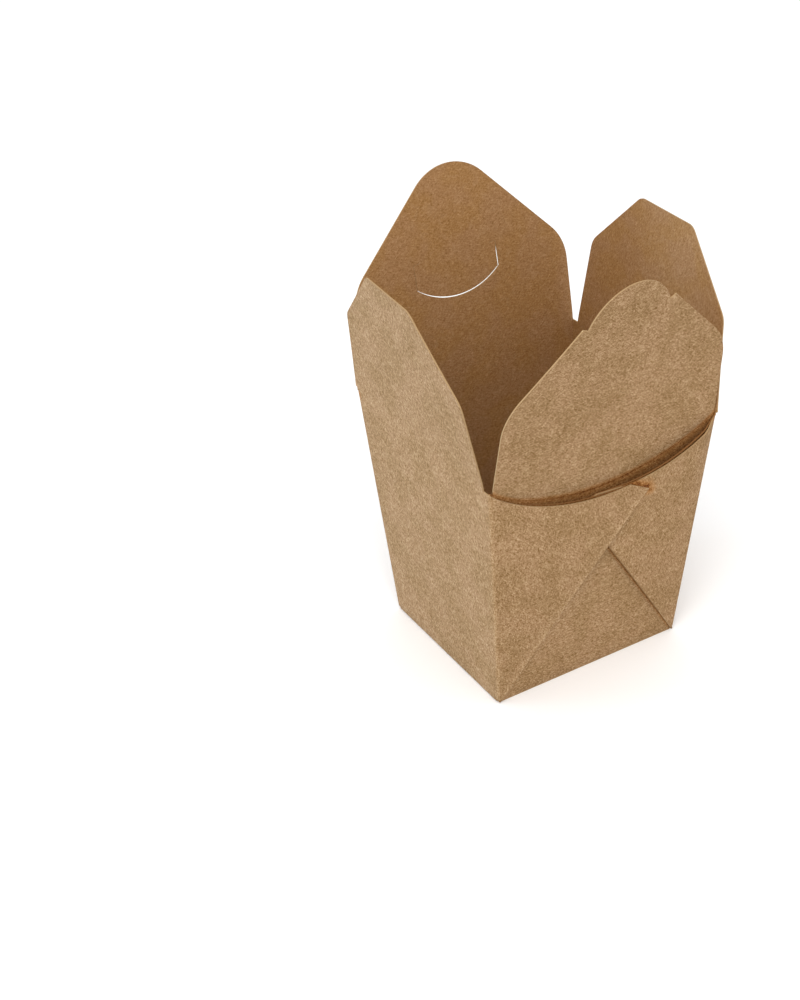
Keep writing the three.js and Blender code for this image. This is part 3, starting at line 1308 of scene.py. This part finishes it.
    def panel_sheet(self) -> FlatSheet:
        """Draws a gusseted side's own panel, up to the curved crease of its flap.

        Returns:
            The sheet.
        """
        bottom = self.bottom_radius * (1 - math.pi / 2)
        foot = self.sizes.half_width(Side.TAB, 0.0) - self.panel_foot_gap * self.sizes.board
        folds = self.foot_lines(foot)
        near, far = self.webs.fold_lines
        for hand in Hand:
            folds += self.webs.beside_fold(hand, (-far, -near, near, far), *self.panel_fold_span)
        return FlatSheet([(-foot, bottom), (foot, bottom), *self.crease(32)[::-1]], folds=folds)

    def crease(self, count: int) -> list[Point]:
        """Points along the curved crease of a long flap, from left to right.

        Args:
            count: How many.

        Returns:
            The points, as places on the gusseted side.
        """
        half = self.webs.rim_half - self.sizes.board * self.panel_top_gap
        route = np.linspace(-half, half, count)
        return [(float(x), float(self.webs.rim(x)) + self.crease_lift) for x in route]

    def web_sheet(self, hand: int) -> FlatSheet:
        """Draws the inner layer of a web.

        Args:
            hand: Which web.

        Returns:
            The sheet.
        """
        foot = (hand * (self.sizes.floor_half[1] - self.inner_foot), self.inner_foot)
        tip = tuple(self.webs.fold_line(hand)[1])
        outline = [foot, tip, *self.webs.rim_points(hand, self.inner_inset, self.inner_drop)]
        return FlatSheet(outline[::-1] if hand == Hand.LEFT else outline)

    def floor_sheet(self) -> FlatSheet:
        """Draws the floor, which stops where the walls' lower folds end."""
        x, y = (half - self.bottom_radius for half in self.sizes.floor_half)
        return FlatSheet([(-x, -y), (x, -y), (x, y), (-x, y)])

    def fold_curve(self, side: Side, hand: Hand) -> bpy.types.Object:
        """Makes the curve that a web's slanting fold follows.

        Args:
            side: The gusseted side.
            hand: Which web.

        Returns:
            A curve object.
        """
        inset, lift = self.bead_foot
        start = np.array([hand * (self.sizes.floor_half[1] - inset), lift])
        across, height = np.linspace(start, self.webs.fold_line(hand)[1], 40).T
        webs = self.webs_on(side)
        layers = webs.outer_layer(hand, across, height) + webs.inner_layer(hand, across, height)
        reach = self.sizes.reach(side, height) + layers / 2
        places = self.turned(side, across, reach, height)
        name = f"{side.name.lower()}_side_web_fold_{hand.name.lower()}"
        data = bpy.data.curves.new(name, "CURVE")
        data.dimensions = "3D"
        spline = data.splines.new("POLY")
        spline.points.add(len(places) - 1)
        spline.points.foreach_set("co", np.c_[places, np.ones(len(places))].ravel())
        return add_object(name, data)

    def build(self) -> list[bpy.types.Object]:
        """Builds every piece of the carton.

        Returns:
            The finished pieces.
        """
        pieces = []
        # The walls are paler from wear and a painted highlight; every sheet takes its painted shade as a
        # mask.
        for side, name in ((Side.FRONT, "front_wall_and_webs"), (Side.BACK, "back_wall_and_webs")):
            place = partial(self.wall_place, side)
            pieces.append(self.wall_sheet().mesh(name, place, side, worn=self.worn, pressed=self.pressed))
        for side in (Side.TAB, Side.SLOT):
            label, webs = side.name.lower(), self.webs_on(side)
            place = partial(self.side_place, side, webs.panel)
            panel = self.panel_sheet()
            # The panel takes painted shade near the rim and painted shadow beside the folds; the inner
            # webs take painted shade near the rim.
            pieces.append(panel.mesh(f"{label}_side_panel", place, side, pressed=webs.panel_shade))
            for hand in Hand:
                name = f"{label}_side_inner_web_{hand.name.lower()}"
                place = partial(self.side_place, side, partial(webs.inner_layer, hand))
                pieces.append(self.web_sheet(hand).mesh(name, place, side, pressed=webs.rim_shade))
        pieces.append(self.floor_sheet().mesh("floor_panel", self.floor_place))
        pieces = [self.trees.thickened(piece) for piece in pieces]
        bead = {
            "Radius": self.bead_size * self.sizes.board, "Material": self.trees.finishes.outside,
        }
        for side, hand in product((Side.TAB, Side.SLOT), Hand):
            pieces.append(self.trees.finished(self.fold_curve(side, hand), self.trees.bead, bead))
        for piece in pieces:
            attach(piece, "carton")
            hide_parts("carton")
        return pieces


@dataclass
class Flap:
    """One of the four flaps, folded up from its crease and leaning outwards.
    """

    side: Side
    body: str
    slot: Slot
    sheet: FlatSheet
    fold_height: float
    fold_reach: float
    half_width: float
    lean: float
    twist: float
    wall_slope: float
    soft_length: float
    drop: float = 0.0
    sag: float = 0.0
    bow: float = 0.0
    bow_length: float = 14.0 * MM
    bend: float = 3.0 * MM
    # Reach of the painted shade above the curved crease, shorter towards the flap's ends.
    brown_length: float = 3.2 * MM
    brown_end: float = 1.1
    brown_least: float = 0.3

    def pressed(self, flat: np.ndarray) -> np.ndarray:
        """Says how much painted shade lies on the flap above its curved crease, fading upwards.

        Args:
            flat: Flat places on the sheet.

        Returns:
            One number for each place, from 0 to 1.
        """
        crease = -self.drop - arc_drop(flat[:, 0], self.half_width, self.sag)
        belly = 1 - np.square(flat[:, 0] / self.half_width)
        length = self.brown_length * np.clip(belly, self.brown_least, 1.0)
        return smooth_step(self.brown_end - (flat[:, 1] - crease) / length)

    def build(self, trees: BoardTrees) -> bpy.types.Object:
        """Folds the flap up, gives it its thickness and hides the imported flap it stands in for.

        Args:
            trees: The geometry trees.

        Returns:
            The finished flap.
        """
        # Only a flap on a curved crease takes painted shade above it.
        masks = {"pressed": self.pressed} if self.sag > 0 else {}
        piece = self.sheet.mesh(f"{self.body}_board", None, self.side, self.fold_height, **masks)
        piece = trees.finished(piece, trees.fold, {
            "Fold Height": self.fold_height, "Fold Reach": self.fold_reach,
            "Half Width": self.half_width, "Lean": self.lean, "Twist": self.twist,
            "Wall Slope": self.wall_slope, "Bend": self.bend, "Drop": self.drop, "Sag": self.sag,
            "Bow": self.bow, "Bow Length": self.bow_length, "Turn": 90.0 * self.side,
        })
        piece = trees.thickened(piece)
        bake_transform(piece)
        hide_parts(self.body)
        return piece


@dataclass
class Flaps:
    """Draws the four flaps and sets how each one stands. Leans and twists are in degrees."""

    sizes: BoxSizes
    webs: Webs
    carton: Carton
    dust_front: Point = (10.4, 2.0)
    dust_back: Point = (9.0, 0.0)
    dust_ear: float = 0.9 * MM
    dust_half: float = 40.1 * MM
    dust_shoulder: float = 35.6 * MM
    dust_top_half: float = 15.3 * MM
    dust_length: float = 61.8 * MM
    dust_radii: Triple = (8.0 * MM, 5.0 * MM, 7.0 * MM)
    dust_folds: tuple[float, ...] = (-0.5 * MM, 0.0, 0.5 * MM, 1.0 * MM)
    dust_fold_gap: float = 1.0 * MM
    dust_step: float = 0.3 * MM
    ear_radius: float = 0.4 * MM
    long_half: float = 48.7 * MM
    long_radius: float = 20.0 * MM
    foot_lift: float = 0.4 * MM
    straight_folds: Point = (-0.7 * MM, 0.7 * MM)
    straight_fold_gap: float = 1.2 * MM
    crease_folds: tuple[float, ...] = (0.7 * MM, 1.5 * MM, 2.5 * MM, 3.6 * MM, 4.8 * MM)
    crease_share: float = 0.97
    slot_lean: float = 11.0
    slot_front_half: float = 45.9 * MM
    slot_front_shoulder: float = 34.4 * MM
    slot_shoulder: float = 33.0 * MM
    slot_apex: float = 82.7 * MM
    tab_lean: float = 11.3
    tab_twist: float = -5.0
    tab_shoulder: float = 32.1 * MM
    tab_foot: float = 47.4 * MM
    barb: Point = (20.8 * MM, 59.8 * MM)
    neck: Point = (18.3 * MM, 58.6 * MM)
    tab_length: float = 71.3 * MM
    slit_width: float = 0.5 * MM
    slit_closed: float = 0.12 * MM
    slit_half: float = 18.2 * MM
    slit_bottom: float = 22.8 * MM
    slit_corner: float = 29.4 * MM
    slit_top: float = 39.4 * MM
    slit_hook: float = 2.4 * MM
    slit_shift: float = 1.0 * MM
    slit_tilt: float = -1.5

    def dust_sheet(self) -> FlatSheet:
        """Draws a dust flap, cut back a little at the end beside the outer web.

        Returns:
            The sheet, with the fold line on y = 0.
        """
        left, right = self.carton.ledge
        foot, half, top = -self.carton.crease_gap, self.dust_half, self.dust_top_half
        right_round, top_round, left_round = self.dust_radii
        outline = rounded_outline([
            (-left, foot), (right, foot), (right, self.dust_step),
            (half, self.dust_shoulder, right_round), (top, self.dust_length, top_round),
            (-top, self.dust_length, top_round), (-half, self.dust_shoulder, left_round),
            (-left - self.dust_ear, 2 * self.dust_step, self.ear_radius), (-left, self.dust_step),
        ])
        folds = level_lines(right - self.dust_fold_gap, self.dust_folds, 36)
        return FlatSheet(outline, folds=folds)

    def long_sheet(self, fold: float, lean: float, outline: Corners, cuts: Sequence[Line]) -> FlatSheet:
        """Draws a long flap on its curved crease.

        Args:
            fold: Height of its fold line at the corners.
            lean: Its lean, in degrees.
            outline: Its corners above the crease, from right to left.
            cuts: Cuts through it.

        Returns:
            The sheet.
        """
        foot = outline[-1][0]
        slope = math.cos(math.radians(lean))
        whole = [(x, (z - fold) / slope) for x, z in self.carton.crease(32)]
        start = float(np.interp(foot, *zip(*whole)))
        crease = [(foot, start), *(point for point in whole if point[0] > foot + 0.5 * MM)]
        folds = level_lines(self.long_half - self.straight_fold_gap, self.straight_folds, 36)
        folds += [[(x * self.crease_share, y + up) for x, y in crease] for up in self.crease_folds]
        return FlatSheet(rounded_outline([*crease, *outline], 0.09), cuts=cuts, folds=folds)

    def slit(self) -> list[Point]:
        """Draws the U-shaped cut that the tab locks into.

        Returns:
            The closed loop of the cut.
        """
        half, sag = self.slit_half, self.slit_corner - self.slit_bottom
        arc = [
            (float(x), self.slit_corner - float(arc_drop(x, half, sag)))
            for x in np.linspace(-half, half, 25)
        ]
        middle = (self.slit_corner + self.slit_top) / 2
        left = [(-half + self.slit_hook, self.slit_top), (-half, self.slit_top), (-half, middle)]
        route = np.array([*left, *arc, *((-x, y) for x, y in reversed(left))])
        along = np.gradient(route, axis=0)
        along /= np.linalg.norm(along, axis=1)[:, None]
        normal = np.c_[-along[:, 1], along[:, 0]]
        # The cut gapes along its arc and at one end, and is closed up at the other.
        last = len(route) - 1
        openness = np.interp(np.arange(last + 1), [0, 1, 2, 4, last - 10, last - 4], [0, 0, 1, 1, 1, 0])
        width = self.slit_closed + (self.slit_width - self.slit_closed) * openness
        offset = normal * (width / 2)[:, None]
        loop = np.array([*(route + offset), *(route - offset)[::-1]])
        tilt = math.radians(self.slit_tilt)
        turn = np.array([[math.cos(tilt), math.sin(tilt)], [-math.sin(tilt), math.cos(tilt)]])
        centre = np.array([0.0, self.slit_corner])
        return [tuple(point) for point in (loop - centre) @ turn + centre + [self.slit_shift, 0.0]]

    def tab_outline(self) -> Corners:
        """Draws the tab flap above its crease, from right to left.

        Returns:
            Its corners.
        """
        half, shoulder, radius = self.long_half, self.tab_shoulder, self.long_radius
        lift = self.tab_length - self.neck[1]
        arc = [
            (float(x), self.neck[1] + float(arc_drop(x, self.neck[0], lift)))
            for x in np.linspace(self.neck[0], -self.neck[0], 24)
        ]
        return [
            (half, self.foot_lift), (half, shoulder, radius), self.barb, *arc,
            (-self.barb[0], self.barb[1]), (-half, shoulder, radius), (-self.tab_foot, -self.foot_lift),
        ]

    def slot_outline(self) -> Corners:
        """Draws the slotted flap above its crease, from right to left.

        Returns:
            Its corners.
        """
        front, half, radius = self.slot_front_half, self.long_half, self.long_radius
        return [
            (front, self.foot_lift), (front, self.slot_front_shoulder, radius),
            (0.0, self.slot_apex, radius), (-half, self.slot_shoulder, radius), (-half, self.foot_lift),
        ]

    def long_flap(
        self, side: Side, body: str, slot: Slot, fold: float, lean: float, twist: float,
        outline: Corners, cuts: Sequence[Line],
    ) -> Flap:
        """Sets how a long flap stands on the curved crease of its panel.

        The panel of the tab flap bows in, so that flap keeps a sharp crease. The other panel is
        flat, and its flap bends up from it smoothly.

        Args:
            side: Its side.
            body: The name of the imported flap that it stands in for.
            slot: Its material slot in the record. It is not used.
            fold: Height of its fold line at the corners.
            lean: Its lean, in degrees.
            twist: How much more it leans at its right end.
            outline: Its corners above the crease.
            cuts: Cuts through it.

        Returns:
            The flap.
        """
        sizes, webs = self.sizes, self.webs
        sine, cosine = math.sin(math.radians(lean)), math.cos(math.radians(lean))
        reach = float(sizes.reach(side, fold)) - sizes.board / 2 - webs.panel_step
        panel_slope = sizes.flare[0] * cosine
        bow = self.carton.webs_on(side).panel_bow
        sag = webs.rim_sag / cosine
        sharp = bow > 0
        return Flap(
            side, body, slot, self.long_sheet(fold, lean, outline, cuts), fold, reach,
            webs.rim_half, lean, twist, sine if sharp else panel_slope, fold - sizes.height,
            drop=(fold - webs.rim_height - self.carton.crease_lift) / cosine, sag=sag,
            bow=bow - (sine - panel_slope) * sag if sharp else 0.0,
        )

    def build(self, trees: BoardTrees) -> list[bpy.types.Object]:
        """Builds the four flaps.

        Args:
            trees: The geometry trees.

        Returns:
            The finished flaps.
        """
        sizes = self.sizes
        dust_reach = float(sizes.reach(Side.FRONT, sizes.height)) - sizes.board / 2
        flaps = [
            Flap(
                side, body, slot, self.dust_sheet(), sizes.height, dust_reach, self.dust_half,
                *stand, sizes.flare[1], self.carton.crease_gap,
            )
            for side, body, slot, stand in (
                (Side.FRONT, "dust_flap_front", Slot.OUTSIDE, self.dust_front),
                (Side.BACK, "dust_flap_back", Slot.INSIDE, self.dust_back),
            )
        ]
        flaps.append(self.long_flap(
            Side.TAB, "tab_flap", Slot.OUTSIDE, sizes.tab_fold, self.tab_lean, self.tab_twist,
            self.tab_outline(), (),
        ))
        flaps.append(self.long_flap(
            Side.SLOT, "slot_flap", Slot.INSIDE, sizes.slot_fold, self.slot_lean, 0.0,
            self.slot_outline(), (self.slit(),),
        ))
        return [flap.build(trees) for flap in flaps]


# --------------------------------------------------------------------------------------------
# Studio
# --------------------------------------------------------------------------------------------


def aim(piece: bpy.types.Object, place: Triple, target: Triple) -> None:
    """Puts a light or a camera in its place and turns it to its target."""
    piece.location = place
    piece.rotation_euler = (Vector(target) - Vector(place)).to_track_quat("-Z", "Y").to_euler()


@dataclass(frozen=True)
class SoftLight:
    """A soft square light that faces the box, with its power in watts."""

    name: str
    place: Triple
    size: float
    power: float
    colour: Triple
    target: Triple = (0.0, 0.0, 0.08)

    def build(self) -> None:
        """Hangs the light."""
        data = bpy.data.lights.new(self.name, "AREA")
        data.size = self.size
        data.energy = self.power
        data.color = self.colour
        aim(add_object(self.name, data), self.place, self.target)


@dataclass(frozen=True)
class Studio:
    """A pale floor, soft lights and the camera."""

    camera_place: Triple = (484.6 * MM, -329.8 * MM, 439.2 * MM)
    camera_target: Triple = (-119.3 * MM, 80.9 * MM, 0.0)
    lens: float = 66.04
    shift: Point = (-0.134, -0.069)
    floor_half: float = 3.0
    floor_drop: float = 0.05 * MM
    sky: float = 1.0
    lights: tuple[SoftLight, ...] = (
        SoftLight("key_light", (0.55, -0.45, 1.1), 0.6, 7.2, (1.0, 0.97, 0.93)),
        SoftLight("left_light", (-0.65, -1.15, 0.08), 0.35, 11.0, (0.48, 0.72, 1.0)),
    )

    def build(self) -> None:
        """Sets up the floor, the lights, the room and the camera."""
        self.floor()
        for light in self.lights:
            light.build()
        self.room()
        self.camera()

    def floor(self) -> None:
        """Lays the pale floor."""
        size = self.floor_half
        data = bpy.data.meshes.new("studio_floor")
        corners = [(-size, -size, 0), (size, -size, 0), (size, size, 0), (-size, size, 0)]
        data.from_pydata(corners, [], [(0, 1, 2, 3)])
        floor = add_object("studio_floor", data)
        floor.location.z = -self.floor_drop
        material = bpy.data.materials.new("studio_white")
        material.use_nodes = True
        shader = material.node_tree.nodes["Principled BSDF"]
        shader.inputs["Base Color"].default_value = linear("#fafafa")
        shader.inputs["Roughness"].default_value = 0.9
        data.materials.append(material)

    def room(self) -> None:
        """Sets the even light of a white room."""
        world = bpy.data.worlds.new("white_room")
        world.use_nodes = True
        background = world.node_tree.nodes["Background"]
        background.inputs["Color"].default_value = (1.0, 1.0, 1.0, 1.0)
        background.inputs["Strength"].default_value = self.sky
        bpy.context.scene.world = world
        bpy.context.scene.view_settings.view_transform = "Standard"

    def camera(self) -> None:
        """Adds the camera."""
        data = bpy.data.cameras.new("camera")
        data.lens = self.lens
        data.shift_x, data.shift_y = self.shift
        camera = add_object("camera", data)
        aim(camera, self.camera_place, self.camera_target)
        bpy.context.scene.camera = camera


def report(label: str, pieces: Iterable[bpy.types.Object]) -> None:
    """Logs each piece of a sub-assembly with its number of faces."""
    for piece in pieces:
        log.info("%s: %s, %d faces", label, piece.name, len(piece.data.polygons))


def main() -> None:
    """Builds the box and the studio."""
    logging.basicConfig(level=logging.INFO, format="%(name)s: %(message)s")
    sizes = BoxSizes.from_frame(frame)
    log.info("sizes: %s", sizes)
    trees = BoardTrees(sizes.board, Finishes())
    webs = Webs(sizes)
    carton = Carton(sizes, webs, trees)
    report("carton", carton.build())
    report("flaps", Flaps(sizes, webs, carton).build(trees))
    Studio().build()


if __name__ == "__main__":
    main()
